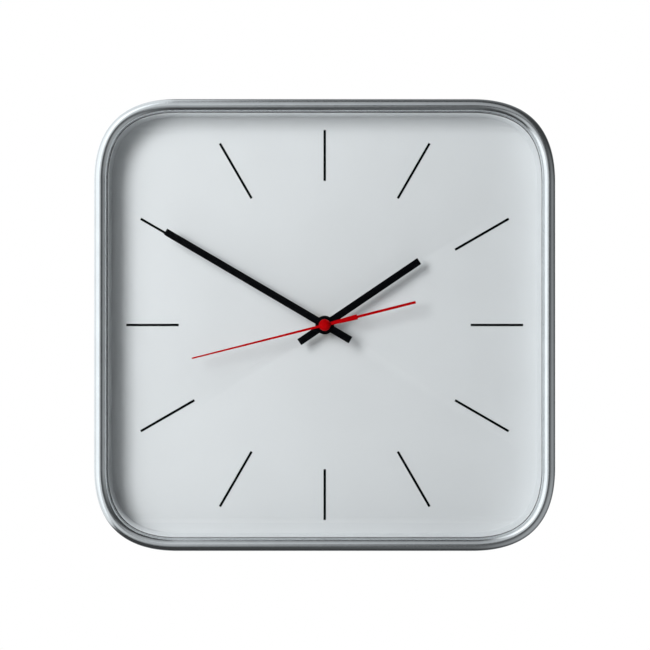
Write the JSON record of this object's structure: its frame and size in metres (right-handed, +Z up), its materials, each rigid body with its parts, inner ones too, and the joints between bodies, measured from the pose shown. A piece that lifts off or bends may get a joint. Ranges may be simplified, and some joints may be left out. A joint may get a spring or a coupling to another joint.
{
  "type": "square wall clock",
  "caption": "Square battery wall clock with rounded corners, a rolled metal rim, bar hour marks, flat hands, an open gear movement behind and a keyhole hanger.",
  "frame": {"origin": "where the hanging nail's axis meets the wall, in the plane of the rear flange; the hand axis is 105 mm below it", "axes": "+Y points back into the wall, so the dial faces -Y; +Z is up; +X is to the right as seen from the front"},
  "size_m": [0.3, 0.0464, 0.294],
  "materials": {
    "rim_metal": "satin silver, rolled",
    "seal": "matt black",
    "lens_glass": "clear, flat",
    "ring_plastic": "pale grey, smooth",
    "dial_paint": "cool silver-white, satin",
    "mark_ink": "black, matt",
    "shell_plastic": "dark grey, fine texture",
    "steel": "zinc plated",
    "movement_plastic": "black, moulded",
    "brass": "turned",
    "gear_plastic": "natural, moulded",
    "magnet": "sintered",
    "copper": "enamelled wire",
    "board": "green, lacquered",
    "battery_jacket": "plain printed sleeve",
    "hand_black": "black, satin paint",
    "signal_red": "red, satin paint"
  },
  "bodies": {
    "root": {"bezel_frame": "rim_metal", "lens_gasket": "seal", "lens": "lens_glass", "dial_ring": "ring_plastic", "dial": "dial_paint", "hour_mark_01": "mark_ink", "hour_mark_02": "mark_ink", "hour_mark_03": "mark_ink", "hour_mark_04": "mark_ink", "hour_mark_05": "mark_ink", "hour_mark_06": "mark_ink", "hour_mark_07": "mark_ink", "hour_mark_08": "mark_ink", "hour_mark_09": "mark_ink", "hour_mark_10": "mark_ink", "hour_mark_11": "mark_ink", "hour_mark_12": "mark_ink", "back_shell": "shell_plastic", "hanger_plate": "steel", "case_screw_1": "steel", "case_screw_2": "steel", "case_screw_3": "steel", "case_screw_4": "steel", "hanger_screw_1": "steel", "hanger_screw_2": "steel", "movement_base": "movement_plastic", "movement_cover": "movement_plastic", "train_bridge": "movement_plastic", "threaded_bushing": "brass", "bushing_washer": "steel", "hex_nut": "brass", "stator": "steel", "coil_core": "steel", "coil_bobbin": "gear_plastic", "coil_winding": "copper", "circuit_board": "board", "quartz_crystal": "steel", "battery_contact_positive": "steel", "battery_contact_negative": "steel"},
    "seconds": {"seconds_wheel": "gear_plastic", "seconds_hand": "signal_red", "seconds_counterweight": "signal_red", "seconds_cap": "signal_red"},
    "third": {"third_wheel": "gear_plastic"},
    "centre": {"centre_wheel": "gear_plastic"},
    "fifth": {"fifth_wheel": "gear_plastic"},
    "rotor": {"rotor": "magnet"},
    "minute": {"cannon_pinion": "brass", "minute_hand": "hand_black"},
    "hour": {"hour_wheel": "gear_plastic", "hour_hand": "hand_black"},
    "setting": {"minute_wheel": "gear_plastic", "setting_knob": "movement_plastic"},
    "battery": {"battery_cell": "battery_jacket"}
  },
  "joints": [
    {"name": "seconds_spin", "type": "hinge", "parent": "root", "child": "seconds", "pos_m": [0, -0.02, -0.105], "axis": [0, 1, 0], "continuous": true},
    {"name": "third_spin", "type": "hinge", "parent": "root", "child": "third", "pos_m": [-0.0102, -0.008, -0.105], "axis": [0, 1, 0], "continuous": true},
    {"name": "centre_spin", "type": "hinge", "parent": "root", "child": "centre", "pos_m": [0, -0.0108, -0.105], "axis": [0, 1, 0], "continuous": true},
    {"name": "fifth_spin", "type": "hinge", "parent": "root", "child": "fifth", "pos_m": [0.00945, -0.0076, -0.10333], "axis": [0, 1, 0], "continuous": true},
    {"name": "rotor_spin", "type": "hinge", "parent": "root", "child": "rotor", "pos_m": [0.013, -0.009, -0.09572], "axis": [0, 1, 0], "continuous": true},
    {"name": "minute_spin", "type": "hinge", "parent": "root", "child": "minute", "pos_m": [0, -0.02, -0.105], "axis": [0, 1, 0], "continuous": true},
    {"name": "hour_spin", "type": "hinge", "parent": "root", "child": "hour", "pos_m": [0, -0.02, -0.105], "axis": [0, 1, 0], "continuous": true},
    {"name": "setting_spin", "type": "hinge", "parent": "root", "child": "setting", "pos_m": [0, -0.008, -0.0948], "axis": [0, 1, 0], "continuous": true},
    {"name": "battery_slide", "type": "slide", "parent": "root", "child": "battery", "axis": [0, 1, 0], "range_m": [0, 0.025]}
  ],
  "couplings": [
    {"joint": "third_spin", "follows": "seconds_spin", "ratio": -0.13333},
    {"joint": "centre_spin", "follows": "seconds_spin", "ratio": 0.016667},
    {"joint": "fifth_spin", "follows": "seconds_spin", "ratio": -5},
    {"joint": "rotor_spin", "follows": "seconds_spin", "ratio": 30},
    {"joint": "hour_spin", "follows": "minute_spin", "ratio": 0.083333},
    {"joint": "setting_spin", "follows": "minute_spin", "ratio": -0.33333}
  ]
}
